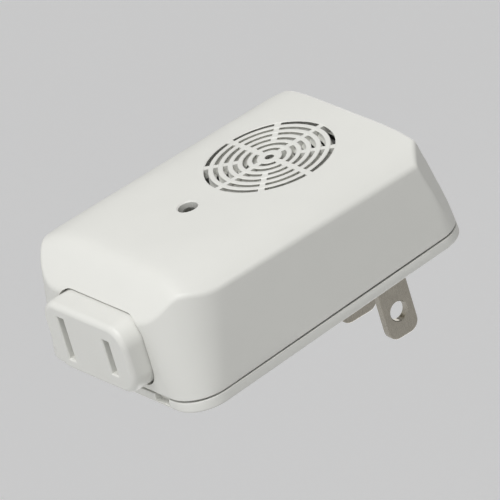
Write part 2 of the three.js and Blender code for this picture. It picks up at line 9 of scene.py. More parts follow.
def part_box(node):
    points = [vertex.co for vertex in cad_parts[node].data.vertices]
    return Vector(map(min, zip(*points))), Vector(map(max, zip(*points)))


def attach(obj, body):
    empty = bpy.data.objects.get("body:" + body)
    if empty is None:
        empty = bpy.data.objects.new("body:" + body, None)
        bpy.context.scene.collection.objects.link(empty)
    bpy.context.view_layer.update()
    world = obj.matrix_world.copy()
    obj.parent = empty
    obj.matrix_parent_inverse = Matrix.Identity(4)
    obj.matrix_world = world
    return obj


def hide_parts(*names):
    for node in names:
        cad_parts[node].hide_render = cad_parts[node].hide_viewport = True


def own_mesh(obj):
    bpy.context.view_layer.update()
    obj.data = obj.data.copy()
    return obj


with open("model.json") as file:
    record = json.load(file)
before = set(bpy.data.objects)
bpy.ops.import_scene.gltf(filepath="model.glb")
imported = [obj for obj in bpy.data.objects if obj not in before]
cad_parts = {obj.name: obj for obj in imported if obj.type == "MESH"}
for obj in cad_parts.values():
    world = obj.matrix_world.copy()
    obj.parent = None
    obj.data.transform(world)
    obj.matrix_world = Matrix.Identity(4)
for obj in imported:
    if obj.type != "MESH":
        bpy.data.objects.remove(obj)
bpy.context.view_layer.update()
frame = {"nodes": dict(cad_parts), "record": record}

MM = 0.001
NODES = frame["nodes"]
SLOT_OF = {part["node"]: part["material_slot"] for part in frame["record"]["subparts"]}
COLOUR_OF = {row["slot"]: row["base_color"][:3] for row in frame["record"]["materials"]}

# ---- Sizes, in metres; what the CAD boxes state is read from them ----
housing_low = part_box("front_housing")[0]
cover_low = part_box("rear_cover")[0]
block_low, block_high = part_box("outlet_block")
cone_low, cone_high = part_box("speaker_cone")
led_low, led_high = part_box("indicator_led")

DEPTH = -housing_low.y                 # wall plane to the crown of the face
BOTTOM = cover_low.z
GRILLE_Z = (cone_low.z + cone_high.z) / 2
LED_Z = (led_low.z + led_high.z) / 2
CROWN = 4 * MM                         # the long front edges sit this far behind the crown
CROWN_POWER = 5                        # the face stays nearly flat, then falls away to its edges
FRONT = {"half": 22.2 * MM, "top": 5.7 * MM, "low_radius": 13.3 * MM, "top_radius": 1.5 * MM}
REAR = {"half": 23 * MM, "top": 9.8 * MM, "low_radius": 6 * MM, "top_radius": 6.7 * MM}
RIM_LOW = -0.5 * MM                    # Y of the slanted back edge at the bottom and at the top
RIM_HIGH = -3.6 * MM
RIM_THICK = 1.9 * MM
CREASE_Z = -46.2 * MM
SLOPE_Y = -16.6 * MM
FACET_TOP_X = 18.5 * MM
FACET_SIDE_Z = 2.5 * MM
FACET_END_Y = -7 * MM
WALL = 1.8 * MM
GAP = 0.3 * MM
CREASE_SOFT = 1.6 * MM                 # softness of the crease across the lower end of the face
EDGE_ROUND = 0.7 * MM                  # rounding along the front edges

PAD_HALF = 14.2 * MM                   # raised back of the rear cover
PAD_BOTTOM = -38 * MM
PAD_TOP = 7.9 * MM
PAD_RADIUS = 3 * MM
PAD_WALL = 1.5 * MM
PAD_PLATE = 1.7 * MM
LIP_REACH = 1.3 * MM                   # inner rim of the rear cover, in front of its plate
LIP_THICK = 1.2 * MM
COVER_SOFT = 0.25 * MM                 # rounding along the edges of the cover and of its pad
BOSS_RADIUS = 2.9 * MM                 # bosses around the cover screws, from the back edge
BOSS_REACH = 4 * MM
BOSS_ROOT = 1.2 * MM
SINK_RADIUS = 2.7 * MM                 # countersinks of the cover screws
SINK_DEPTH = 2.2 * MM
SHANK_HOLE = 1.5 * MM
MOUTH_LIP = 0.2 * MM                   # flare at the mouth of a countersink or a blade slot
NOTCH_X = (11.2 * MM, 15.2 * MM)       # notch for prying the cover off, in its lower edge
NOTCH_HIGH = 1.1 * MM
NOTCH_STEP = 0.6 * MM

BLOCK_X = (block_low.x + block_high.x) / 2
BLOCK_Y = (block_low.y + block_high.y) / 2
BLOCK_HALF_X = 11.8 * MM               # without its hidden ears
BLOCK_RADIUS = 4 * MM
BLOCK_ROUND = 1.1 * MM
CAVITY_HALF_X = 10.4 * MM
BLOCK_FLOOR = 1.5 * MM
CAVITY_HALF_Y = 4.55 * MM
WINDOW_TOP = -47.9 * MM

RING_FIRST = 2.6 * MM
RING_PITCH = 1.7 * MM
RING_COUNT = 6
RING_SLOT = 0.8 * MM
RING_LIP = 0.13 * MM                   # rounded lip along each slot
RIB = 1.1 * MM
LED_RADIUS = 1.5 * MM
LED_HOLE = 1.75 * MM
LED_LIP = 0.25 * MM
LED_FLANGE = 0.4 * MM

SHOULDER = 1.2 * MM                    # each blade's hidden shoulders, past its width
SHOULDER_Y = (-7.6 * MM, -5.3 * MM)
BLADE_TIP = 2 * MM                     # corner rounding at the tip
BLADE_TAB = 2 * MM                     # half width of the inner tab
BLADE_HOLE_Y = 11.7 * MM
BLADE_HOLE = 1.75 * MM
BLADE_LIP = 0.15 * MM

SLOT_HALF_X = 0.95 * MM                # outlet slots
SLOT_LENGTH = {"line": 6.7 * MM, "neutral": 8.25 * MM}
SLOT_LIP = 0.22 * MM
SHUTTER_RAMP = 0.9 * MM
HEAD_HEIGHT = {"cover": 1.4 * MM, "board": 1.2 * MM}
THREAD_PITCH = 0.9 * MM
SPRING_WIRE = 0.16 * MM
SPRING_TURNS = 5
HUB_HOLE = 0.8 * MM

SEAM_ROUND = 0.18 * MM                 # rounding on each side of the seam

COLUMNS = 480                          # mesh columns around the middle of the grille
FACE_RINGS = 22
SIDE_ROWS = 12


# ---- Mesh helpers ----

def mesh_object(name, vertices, faces):
    mesh = bpy.data.meshes.new(name)
    mesh.from_pydata([tuple(v) for v in vertices], [], faces)
    mesh.update()
    made = bpy.data.objects.new(name, mesh)
    bpy.context.scene.collection.objects.link(made)
    return made


def activate(obj):
    bpy.ops.object.select_all(action="DESELECT")
    obj.select_set(True)
    bpy.context.view_layer.objects.active = obj


def apply_modifier(obj, kind, **settings):
    modifier = obj.modifiers.new(kind, kind)
    for key, value in settings.items():
        setattr(modifier, key, value)
    activate(obj)
    bpy.ops.object.modifier_apply(modifier=modifier.name)
    return obj


def combine(obj, other, operation):
    apply_modifier(obj, "BOOLEAN", object=other, operation=operation, solver="EXACT")
    bpy.data.objects.remove(other)
    return obj


def cut(obj, *cutters):
    for cutter in cutters:
        combine(obj, cutter, "DIFFERENCE")
    return obj


def bevel(obj, width, segments=3, angle=35):
    return apply_modifier(obj, "BEVEL", width=width, segments=segments, limit_method="ANGLE",
                          angle_limit=math.radians(angle), use_clamp_overlap=True,
                          harden_normals=False)


def cleaned(obj):
    """Merges doubled points, turns the faces outwards and drops loose geometry."""
    bm = bmesh.new()
    bm.from_mesh(obj.data)
    bmesh.ops.remove_doubles(bm, verts=bm.verts, dist=2e-6)
    bmesh.ops.dissolve_degenerate(bm, edges=bm.edges, dist=1e-6)
    bmesh.ops.delete(bm, geom=[v for v in bm.verts if not v.link_faces], context="VERTS")
    bmesh.ops.recalc_face_normals(bm, faces=bm.faces)
    bm.to_mesh(obj.data)
    bm.free()
    return obj


def shade(obj, angle=32):
    """Smooth shading, with edges sharper than the angle kept crisp."""
    limit = math.radians(angle)
    bm = bmesh.new()
    bm.from_mesh(obj.data)
    for face in bm.faces:
        face.smooth = True
    for edge in bm.edges:
        edge.smooth = len(edge.link_faces) == 2 and edge.calc_face_angle(0.0) < limit
    bm.to_mesh(obj.data)
    bm.free()
    apply_modifier(obj, "WEIGHTED_NORMAL", keep_sharp=True, weight=50)
    return obj


def stacked(rings):
    """Faces that join closed rings of the same number of points, with a cap at each end."""
    count = len(rings[0])
    faces = []
    for k in range(len(rings) - 1):
        for i in range(count):
            j = (i + 1) % count
            faces.append((k * count + i, k * count + j, (k + 1) * count + j, (k + 1) * count + i))
    top = (len(rings) - 1) * count
    return faces + [tuple(range(count - 1, -1, -1)), tuple(range(top, top + count))]


def loft(name, rings):
    return cleaned(mesh_object(name, [p for ring in rings for p in ring], stacked(rings)))


SQUARE = ((1, -1), (1, 1), (-1, 1), (-1, -1))   # corners of a rectangle, in order
AXES = {
    "X": lambda a, b, h: (h, a, b),
    "Y": lambda a, b, h: (a, h, b),
    "Z": lambda a, b, h: (a, b, h),
}


def prism(name, outline, axis, low, high):
    """An outline in the two axes other than the given one, between two heights along it."""
    turn = AXES[axis]
    return loft(name, [[turn(a, b, h) for a, b in outline] for h in (low, high)])


def arc(cx, cy, radius, start, end, steps):
    turns = [math.radians(start + (end - start) * i / steps) for i in range(steps + 1)]
    return [(cx + radius * math.cos(t), cy + radius * math.sin(t)) for t in turns]


def circle(cx, cy, radius, steps):
    return arc(cx, cy, radius, 0, 360, steps)[:-1]


def rounded(left, right, low, high, radius, steps=8):
    return (arc(right - radius, low + radius, radius, -90, 0, steps)
            + arc(right - radius, high - radius, radius, 0, 90, steps)
            + arc(left + radius, high - radius, radius, 90, 180, steps)
            + arc(left + radius, low + radius, radius, 180, 270, steps))


def turned(name, profile, x, z, steps=48):
    """A profile of (radius, y) pairs, turned about a line along Y."""
    rings = [[(x + a, y, z + b) for a, b in circle(0, 0, max(radius, 1e-7), steps)]
             for radius, y in profile]
    return loft(name, rings)


# ---- Case form: every outline is a distance from the middle of the grille, by angle ----

def outline(key, y):
    """One size of the outline, between the face and the wall."""
    return FRONT[key] + (REAR[key] - FRONT[key]) * np.minimum((y + DEPTH) / DEPTH, 1)


def rim_at(z):
    """Y of the slanted back edge at a height."""
    return RIM_LOW + (RIM_HIGH - RIM_LOW) * (z - BOTTOM) / (REAR["top"] - BOTTOM)


def crown_drop(x):
    return CROWN * (np.abs(x) / REAR["half"]) ** CROWN_POWER


def facet_planes():
    """The two planes that cut the top corners, each as a normal and an offset."""
    back_in = outline("top_radius", FACET_END_Y) * (1 - math.sqrt(0.5))
    edge = outline("half", CROWN - DEPTH)
    planes = []
    for side in (1, -1):
        on_top = np.array([side * FACET_TOP_X, crown_drop(FACET_TOP_X) - DEPTH, FRONT["top"]])
        on_side = np.array([side * edge, crown_drop(edge) - DEPTH, FACET_SIDE_Z])
        at_rear = np.array([side * (outline("half", FACET_END_Y) - back_in), FACET_END_Y,
                            outline("top", FACET_END_Y) - back_in])
        normal = np.cross(on_side - on_top, at_rear - on_top)
        normal *= np.sign(normal[2]) / np.linalg.norm(normal)
        planes.append((normal, normal @ on_top))
    return planes


FACETS = facet_planes()


def reach(angle, y):
    """Distance from the grille's axis to the outside of the case, at these angles and depths."""
    across = np.maximum(np.abs(np.cos(angle)), 1e-9)
    along = np.maximum(np.abs(np.sin(angle)), 1e-9)
    upper = np.sin(angle) > 0
    half = outline("half", y)
    room = np.where(upper, outline("top", y) - GRILLE_Z, GRILLE_Z - BOTTOM)
    radius = np.where(upper, outline("top_radius", y), outline("low_radius", y))
    found = np.minimum(half / across, room / along)
    centre_x, centre_z = half - radius, room - radius
    towards = across * centre_x + along * centre_z
    inside = towards ** 2 - (centre_x ** 2 + centre_z ** 2 - radius ** 2)
    in_corner = (found * across > centre_x) & (found * along > centre_z)
    found = np.where(in_corner, towards + np.sqrt(np.maximum(inside, 0)), found)
    for normal, offset in FACETS:
        slope = normal[0] * np.cos(angle) + normal[2] * np.sin(angle)
        space = offset - normal[1] * y - normal[2] * GRILLE_Z
        limit = np.where(slope > 1e-6, space / np.maximum(slope, 1e-6), 1.0)
        found = np.minimum(found, limit)
    return found


def face_depth(x, z):
    """Y of the crowned face, which turns down softly towards the end wall."""
    crown = crown_drop(x) - DEPTH
    slope = (CREASE_Z - z) * (SLOPE_Y + DEPTH) / (CREASE_Z - BOTTOM) - DEPTH
    apart = crown - slope
    return (crown + slope + np.sqrt(apart ** 2 + CREASE_SOFT ** 2)) / 2


def rim_depth(angle, offset):
    """Depth at each angle of the slanted plane that runs at an offset from the back edge."""
    y = np.full_like(angle, offset)
    for _ in range(20):
        y = rim_at(GRILLE_Z + reach(angle, y) * np.sin(angle)) + offset
    return y


def point_at(angle, distance, y):
    return np.stack([distance * np.cos(angle), y, GRILLE_Z + distance * np.sin(angle)], axis=-1)


def on_face(angle, distance):
    x, z = distance * np.cos(angle), GRILLE_Z + distance * np.sin(angle)
    return point_at(angle, distance, face_depth(x, z))


def front_edge(angle):
    """Where the sides meet the face: distance and depth at each angle."""
    y = np.full_like(angle, CROWN - DEPTH)
    for _ in range(30):
        distance = reach(angle, y)
        y = 0.5 * y + 0.5 * face_depth(distance * np.cos(angle), GRILLE_Z + distance * np.sin(angle))
    return reach(angle, y), y


def unit(vectors):
    return vectors / np.linalg.norm(vectors, axis=-1, keepdims=True)


# ---- Front housing ----

def grille_radii():
    """Ring radii over the grille, with the pair of radii that bound each ring of slots."""
    radii, slots = [HUB_HOLE, HUB_HOLE + RING_LIP], []
    for k in range(RING_COUNT):
        middle = RING_FIRST + k * RING_PITCH
        inner, outer = middle - RING_SLOT / 2, middle + RING_SLOT / 2
        slots.append((len(radii) + 1, middle, 4 if k < 2 else 8))
        radii += [inner - RING_LIP, inner, outer, outer + RING_LIP]
    return radii, slots


def slot_columns(middle, ribs):
    """Which columns a ring of slots leaves open between its radial ribs."""
    step = 2 * math.pi / COLUMNS
    half = round(RIB / 2 / middle / step)
    per_rib = COLUMNS // ribs
    return [i % per_rib >= half and i % per_rib < per_rib - half for i in range(COLUMNS)]


def housing_skin():
    """The outer skin with its slots left open."""
    angle = np.arange(COLUMNS) * 2 * math.pi / COLUMNS
    radii, slots = grille_radii()
    lowered = {0} | {k for first, _, _ in slots for k in (first, first + 1)}
    rings = []
    for k, radius in enumerate(radii):
        ring = on_face(angle, np.full(COLUMNS, radius))
        if k in lowered:
            ring[:, 1] += RING_LIP * 0.8
        rings.append(ring)

    edge_reach, edge_y = front_edge(angle)
    edge = point_at(angle, edge_reach, edge_y)
    last = radii[-1]
    side_point = point_at(angle, reach(angle, edge_y + EDGE_ROUND), edge_y + EDGE_ROUND)
    face_point = on_face(angle, edge_reach - EDGE_ROUND)
    face_point = edge + unit(face_point - edge) * EDGE_ROUND
    side_point = edge + unit(side_point - edge) * EDGE_ROUND
    inner_reach = np.hypot(face_point[:, 0], face_point[:, 2] - GRILLE_Z)
    for k in range(1, FACE_RINGS):
        share = 1 - (1 - k / FACE_RINGS) ** 1.8
        rings.append(on_face(angle, last + (inner_reach - last) * share))
    fillet_steps = 6
    for k in range(fillet_steps + 1):
        t = k / fillet_steps
        rings.append((1 - t) ** 2 * face_point + 2 * t * (1 - t) * edge + t ** 2 * side_point)

    seam = rim_depth(angle, -RIM_THICK - GAP)
    for k in range(1, SIDE_ROWS + 1):
        y = side_point[:, 1] + (seam - SEAM_ROUND - side_point[:, 1]) * k / SIDE_ROWS
        rings.append(point_at(angle, reach(angle, y), y))
    rings.append(point_at(angle, reach(angle, seam) - SEAM_ROUND, seam))

    opened = {}
    for first, middle, ribs in slots:
        opened[first] = slot_columns(middle, ribs)
    faces = []
    for k in range(len(rings) - 1):
        for i in range(COLUMNS):
            if k in opened and opened[k][i]:
                continue
            j = (i + 1) % COLUMNS
            faces.append((k * COLUMNS + i, k * COLUMNS + j, (k + 1) * COLUMNS + j, (k + 1) * COLUMNS + i))
    return [p for ring in rings for p in ring], faces


def outlet_window():
    """The opening for the block in the end wall."""
    clear_x = BLOCK_HALF_X + GAP
    window = rounded(BLOCK_X - clear_x, BLOCK_X + clear_x, block_low.y - GAP, block_high.y + GAP,
                     BLOCK_RADIUS)
    return prism("window", window, "Z", BOTTOM - 5 * MM, WINDOW_TOP)


def led_hole():
    """The hole for the lamp, with a softened mouth."""
    wide = LED_HOLE + LED_LIP
    profile = [(wide + MM, -DEPTH - MM), (wide, -DEPTH), (LED_HOLE, -DEPTH + LED_LIP),
               (LED_HOLE, -DEPTH + 4 * MM)]
    return turned("led_hole", profile, 0, LED_Z)


def front_housing():
    """The skin given its wall thickness, with the lamp hole and the opening for the block."""
    vertices, faces = housing_skin()
    obj = mesh_object("front_housing_shell", vertices, faces)
    bm = bmesh.new()
    bm.from_mesh(obj.data)
    bmesh.ops.recalc_face_normals(bm, faces=bm.faces)
    if sum(face.normal.y * face.calc_area() for face in bm.faces) > 0:
        bmesh.ops.reverse_faces(bm, faces=bm.faces)
    bm.to_mesh(obj.data)
    bm.free()
    apply_modifier(obj, "SOLIDIFY", thickness=WALL, offset=-1.0, use_even_offset=False,
                   use_quality_normals=True)
    cleaned(obj)
    cut(obj, led_hole(), outlet_window())
    return shade(cleaned(obj), 38)


# ---- Rear cover ----

def cover_rings(levels):
    """Rings around the case at offsets from the slanted back edge, each drawn in by an inset."""
    angle = np.arange(COLUMNS) * 2 * math.pi / COLUMNS
    rings = []
    for offset, inset in levels:
        depth = rim_depth(angle, offset)
        rings.append([tuple(p) for p in point_at(angle, reach(angle, depth) - inset, depth)])
    return rings


def countersink(x, z, radius, mouth, floor):
    """A round pocket for a screw head whose mouth flares a little."""
    wide = radius + MOUTH_LIP
    return turned("sink", [(radius, floor), (radius, mouth - MOUTH_LIP), (wide, mouth), (wide, mouth + MM)],
                  x, z)


def slot_cutter(x, z, half_x, half_z, low, high):
    """A rectangular slot along Y whose mouth at the high end flares a little."""
    def level(y, out):
        return [(x + a * (half_x + out), y, z + b * (half_z + out)) for a, b in SQUARE]
    return loft("slot", [level(low, 0), level(-MOUTH_LIP, 0), level(0, MOUTH_LIP), level(high, MOUTH_LIP)])


def pad_ring(inset, depth):
    """The outline of the pad at a depth that may change with height."""
    corner = rounded(-PAD_HALF + inset, PAD_HALF - inset, PAD_BOTTOM + inset, PAD_TOP - inset,
                     PAD_RADIUS - inset)
    return [(x, depth(z), z) for x, z in corner]


def rear_cover():
    """A plate that follows the slanted edge, with a hollow pad that rests on the wall."""
    front, soft = -RIM_THICK, COVER_SOFT
    plate = loft("rear_cover_shell", cover_rings([
        (front, soft), (front + 0.3 * soft, 0.2 * soft), (front + soft, 0), (-2 * soft, 0),
        (-soft, 0.2 * soft), (-0.4 * soft, 0.6 * soft), (0, 2 * soft)]))
    lip = loft("lip", cover_rings([(front - LIP_REACH, WALL + GAP + 0.1 * MM), (-MM, WALL + GAP)]))
    inner = WALL + GAP + LIP_THICK
    hollow = loft("hollow", cover_rings([(front - LIP_REACH - MM, inner), (front + 0.01 * MM, inner)]))
    break_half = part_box("blade_carrier")[1].x + MM
    cut(lip, hollow, prism("break", rounded(-break_half, break_half, 0, 2 * REAR["top"], MM), "Y",
                           -DEPTH, 0))
    combine(plate, lip, "UNION")
    pad = loft("pad", [pad_ring(0, lambda z: rim_at(z) - MM), pad_ring(0, lambda z: -1.6 * soft),
                       pad_ring(0.4 * soft, lambda z: -0.5 * soft), pad_ring(1.6 * soft, lambda z: 0)])
    combine(plate, pad, "UNION")
    cut(plate, loft("pocket", [pad_ring(PAD_WALL, lambda z: -DEPTH),
                               pad_ring(PAD_WALL, lambda z: -PAD_PLATE)]))
    for i in range(1, 5):
        low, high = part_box(f"cover_screw_{i}")
        middle = (low + high) / 2
        rim = rim_at(middle.z)
        boss = turned("boss", [(BOSS_RADIUS, rim - BOSS_REACH), (BOSS_RADIUS, rim - BOSS_ROOT)],
                      middle.x, middle.z)
        combine(plate, boss, "UNION")
        cut(plate, countersink(middle.x, middle.z, SINK_RADIUS, rim, rim - SINK_DEPTH),
            turned("shank", [(SHANK_HOLE, rim - 6 * MM), (SHANK_HOLE, MM)], middle.x, middle.z))
    for node in ("line_blade", "neutral_blade"):
        low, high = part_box(node)
        half_z = (high.z - low.z) / 2 - SHOULDER
        cut(plate, slot_cutter((low.x + high.x) / 2, 0, (high.x - low.x) / 2 + GAP, half_z + GAP, -DEPTH, MM))
    notch = prism("notch", rounded(*NOTCH_X, -6 * MM, RIM_LOW - NOTCH_STEP, 0.3 * MM, 3), "Z",
                  BOTTOM - MM, BOTTOM + NOTCH_HIGH)
    cut(plate, notch)
    return shade(cleaned(plate), 38)


# ---- Outlet block ----

def outlet_slot(node):
    """Cuts one slot through the end of the block, in line with the contact behind it."""
    low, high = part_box(node)
    x = (low.x + high.x) / 2
    y = (low.y + high.y) / 2
    length = SLOT_LENGTH[node.split("_")[0]]
    end = block_low.z

    def level(z, out):
        return [(x + a * (SLOT_HALF_X + out), y + b * (length / 2 + out), z) for a, b in SQUARE]
    return loft("slot", [level(end - MM, SLOT_LIP), level(end, SLOT_LIP), level(end + SLOT_LIP, 0),
                         level(end + 2 * MM, 0)])


def outlet_block():
    """A rounded block, hollow behind its end wall, with two slots."""
    def ring(z, inset):
        edge = rounded(BLOCK_X - BLOCK_HALF_X + inset, BLOCK_X + BLOCK_HALF_X - inset,
                       block_low.y + inset, block_high.y - inset, BLOCK_RADIUS - inset, 12)
        return [(a, b, z) for a, b in edge]
    steps = 7
    turns = [k / steps * math.pi / 2 for k in range(steps + 1)]
    rings = [ring(block_low.z + BLOCK_ROUND * (1 - math.sin(t)), BLOCK_ROUND * (1 - math.cos(t)))
             for t in reversed(turns)]
    block = loft("outlet_block_shell", rings + [ring(block_high.z, 0)])
    cavity = prism("cavity", rounded(BLOCK_X - CAVITY_HALF_X, BLOCK_X + CAVITY_HALF_X,
                                     BLOCK_Y - CAVITY_HALF_Y, BLOCK_Y + CAVITY_HALF_Y, MM, 6),
                   "Z", block_low.z + BLOCK_FLOOR, block_high.z + MM)
    cut(block, cavity, outlet_slot("line_contact"), outlet_slot("neutral_contact"))
    return shade(cleaned(block), 38)


# ---- Shutters, blades, lamp and screws ----

def shutter(node):
    """A small wedge whose ramp faces outwards."""
    low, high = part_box(node)
    near, far = (low.x, high.x) if node.startswith("line") else (high.x, low.x)
    outline = [(near, low.z), (far, low.z + SHUTTER_RAMP), (far, high.z), (near, high.z)]
    wedge = prism(node + "_wedge", outline, "Y", low.y, high.y)
    return shade(bevel(wedge, 0.14 * MM, 3, 20), 38)


def blade(node):
    """A flat blade with a rounded tip, a hole near it, hidden shoulders and an inner tab."""
    low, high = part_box(node)
    tip, inner = high.y, low.y
    half = (high.z - low.z) / 2 - SHOULDER
    back, front = SHOULDER_Y
    shape = ([(inner, -BLADE_TAB), (back, -BLADE_TAB), (back, low.z), (front, low.z), (front, -half)]
             + arc(tip - BLADE_TIP, BLADE_TIP - half, BLADE_TIP, -90, 0, 10)
             + arc(tip - BLADE_TIP, half - BLADE_TIP, BLADE_TIP, 0, 90, 10)
             + [(front, half), (front, high.z), (back, high.z), (back, BLADE_TAB), (inner, BLADE_TAB)])
    bar = prism(node + "_bar", shape, "X", low.x, high.x)
    wide = BLADE_HOLE + BLADE_LIP
    levels = [(low.x - MM, wide), (low.x, wide), (low.x + BLADE_LIP, BLADE_HOLE),
              (high.x - BLADE_LIP, BLADE_HOLE), (high.x, wide), (high.x + MM, wide)]
    hole = loft("hole", [[(x, a, b) for a, b in circle(BLADE_HOLE_Y, 0, r, 40)] for x, r in levels])
    bevel(bar, 0.16 * MM, 3, 30)
    cut(bar, hole)
    return shade(cleaned(bar), 38)


def lamp():
    """The indicator: a domed resin body with a flange at its foot."""
    foot = led_high.y
    shoulder = led_low.y + LED_RADIUS
    wide = LED_RADIUS + LED_FLANGE
    dome = [(LED_RADIUS * math.sin(t), shoulder - LED_RADIUS * math.cos(t))
            for t in (math.pi / 2 * i / 10 for i in range(11))]
    body = [(LED_RADIUS, foot - 1.1 * MM), (wide - 0.05 * MM, foot - MM), (wide, foot - 0.9 * MM),
            (wide, foot), (0, foot)]
    return shade(turned("indicator_lamp", dome + body, 0, LED_Z), 38)


def screw(node):
    """A pan-head screw with a cross recess and a threaded shank."""
    low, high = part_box(node)
    x, z = (low.x + high.x) / 2, (low.z + high.z) / 2
    head = (high.x - low.x) / 2
    height = HEAD_HEIGHT[node.split("_")[0]]
    under = high.y - height
    shank = head * 0.42
    profile = [(0, low.y), (shank * 0.3, low.y + 0.2 * MM), (shank * 0.85, low.y + 1.2 * MM)]
    y = low.y + 1.4 * MM
    while y + THREAD_PITCH < under - 0.4 * MM:
        profile += [(shank * 0.8, y), (shank, y + THREAD_PITCH * 0.45), (shank * 0.8, y + THREAD_PITCH * 0.8)]
        y += THREAD_PITCH
    profile += [(shank * 0.8, under), (head * 0.96, under), (head, under + 0.12 * MM)]
    profile += [(head * math.cos(t), under + height * (0.45 + 0.55 * math.sin(t)))
                for t in (math.pi / 2 * i / 8 for i in range(9))]
    made = turned(node + "_pan", profile, x, z, 40)
    arm, slit, floor = head * 0.58, 0.27 * MM, high.y - height * 0.6
    for wide, tall in ((arm, slit), (slit, arm)):
        def level(y, grow, wide=wide, tall=tall):
            return [(x + a * wide * grow, y, z + b * tall * grow) for a, b in SQUARE]
        cut(made, loft("cross", [level(floor, 0.6), level(high.y + 0.2 * MM, 1.12)]))
    return shade(cleaned(made), 38)


def coil_spring(node):
    """A closed-end compression spring along X, swept from a helix."""
    low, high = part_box(node)
    radius = (high.z - low.z) / 2 - SPRING_WIRE
    y, z = (low.y + high.y) / 2, (low.z + high.z) / 2
    per_turn, sides = 28, 10
    start, end = low.x + SPRING_WIRE, high.x - SPRING_WIRE
    rings = []
    total = SPRING_TURNS * per_turn
    for i in range(total + 1):
        t = i / total
        eased = np.interp(t, [0, 0.15, 0.85, 1], [0, 0.04, 0.96, 1])
        turn = 2 * math.pi * SPRING_TURNS * t
        outward = Vector((0, math.cos(turn), math.sin(turn)))
        centre = Vector((start + (end - start) * eased, y, z)) + outward * radius
        rings.append([centre + SPRING_WIRE * (math.cos(a) * outward + math.sin(a) * Vector((1, 0, 0)))
                      for a in (2 * math.pi * k / sides for k in range(sides))])
    return shade(loft(node + "_coil", rings), 60)


# ---- Materials ----

class Nodes:
    """Short names for building one material's node tree."""

    def __init__(self, name, base, roughness, metallic=0.0):
        self.material = bpy.data.materials.new(name)
        self.material.use_nodes = True
        self.tree = self.material.node_tree
        self.shader = self.tree.nodes["Principled BSDF"]
        self.shader.inputs["Base Color"].default_value = (*base, 1)
        self.shader.inputs["Roughness"].default_value = roughness
        self.shader.inputs["Metallic"].default_value = metallic
        self.place = self.add("ShaderNodeTexCoord").outputs["Object"]

    def add(self, kind, **values):
        node = self.tree.nodes.new(kind)
        for key, value in values.items():
            if hasattr(node, key):
                setattr(node, key, value)
            else:
                node.inputs[key.replace("_", " ")].default_value = value
        return node

    def link(self, source, target):
        self.tree.links.new(source, target)

    def stretched(self, scale):
        mapping = self.add("ShaderNodeMapping")
        mapping.inputs["Scale"].default_value = scale
        self.link(self.place, mapping.inputs["Vector"])
        return mapping.outputs["Vector"]

    def noise(self, scale, detail=3.0, vector=None, roughness=0.5):
        node = self.add("ShaderNodeTexNoise", Scale=scale, Detail=detail, Roughness=roughness)
        self.link(vector or self.place, node.inputs["Vector"])
        return node.outputs["Fac"]

    def ramp(self, source, low, high, start=0.3, end=0.7):
        node = self.add("ShaderNodeMapRange")
        for key, value in (("From Min", start), ("From Max", end), ("To Min", low), ("To Max", high)):
            node.inputs[key].default_value = value
        self.link(source, node.inputs["Value"])
        return node.outputs["Result"]

    def vary_colour(self, source, dark, light, start=0.3, end=0.7):
        node = self.add("ShaderNodeMix", data_type="RGBA")
        self.link(self.ramp(source, 0, 1, start, end), node.inputs[0])
        node.inputs[6].default_value = (*dark, 1)
        node.inputs[7].default_value = (*light, 1)
        self.link(node.outputs[2], self.shader.inputs["Base Color"])

    def vary_roughness(self, source, low, high, start=0.3, end=0.7):
        self.link(self.ramp(source, low, high, start, end), self.shader.inputs["Roughness"])

    def bump(self, heights, strength, distance):
        """Adds one bump over another, from the first height to the last."""
        normal = None
        for height, share in heights:
            node = self.add("ShaderNodeBump", Strength=strength * share, Distance=distance)
            self.link(height, node.inputs["Height"])
            if normal is not None:
                self.link(normal, node.inputs["Normal"])
            normal = node.outputs["Normal"]
        self.link(normal, self.shader.inputs["Normal"])


def shifted(colour, factor):
    return tuple(min(1.0, c * factor) for c in colour)


def moulded(slot, rough=0.42, grain=9000, strength=0.16):
    """Moulded plastic: spark-eroded grain, faint flow marks and slight gloss changes."""
    base = COLOUR_OF[slot]
    n = Nodes(slot, base, rough)
    flow = n.noise(35, 4)
    n.vary_colour(flow, shifted(base, 0.975), shifted(base, 1.015))
    n.vary_roughness(n.noise(220, 3), rough - 0.05, rough + 0.07)
    n.bump([(n.noise(grain, 2), 1.0), (n.noise(grain * 0.35, 2), 0.6), (flow, 0.25)], strength, 0.00005)
    n.shader.inputs["IOR"].default_value = 1.49
    n.shader.inputs["Specular IOR Level"].default_value = 0.45
    return n.material


def glossy(slot, rough=0.22):
    """Smooth coloured insulation or lacquer under a thin clear coat."""
    base = COLOUR_OF[slot]
    n = Nodes(slot, base, rough)
    n.vary_colour(n.noise(400, 3), shifted(base, 0.9), shifted(base, 1.08))
    n.vary_roughness(n.noise(900, 2), rough - 0.06, rough + 0.08)
    n.bump([(n.noise(1500, 2), 1.0)], 0.08, 0.00004)
    n.shader.inputs["Coat Weight"].default_value = 0.3
    n.shader.inputs["Coat Roughness"].default_value = 0.12
    return n.material


def metal(slot, rough=0.3, stretch=(400, 60, 400), contrast=0.14, tone=1.0):
    """Drawn or stamped metal: fine streaks along its length and soft tarnish."""
    base = shifted(COLOUR_OF[slot], tone)
    n = Nodes(slot, base, rough, 1.0)
    streaks = n.noise(12, 4, n.stretched(stretch))
    tarnish = n.noise(260, 4)
    n.vary_colour(tarnish, shifted(base, 1 - contrast), shifted(base, 1 + contrast / 2))
    n.vary_roughness(streaks, rough - 0.08, rough + 0.14)
    n.bump([(streaks, 1.0), (tarnish, 0.3)], 0.07, 0.00004)
    return n.material


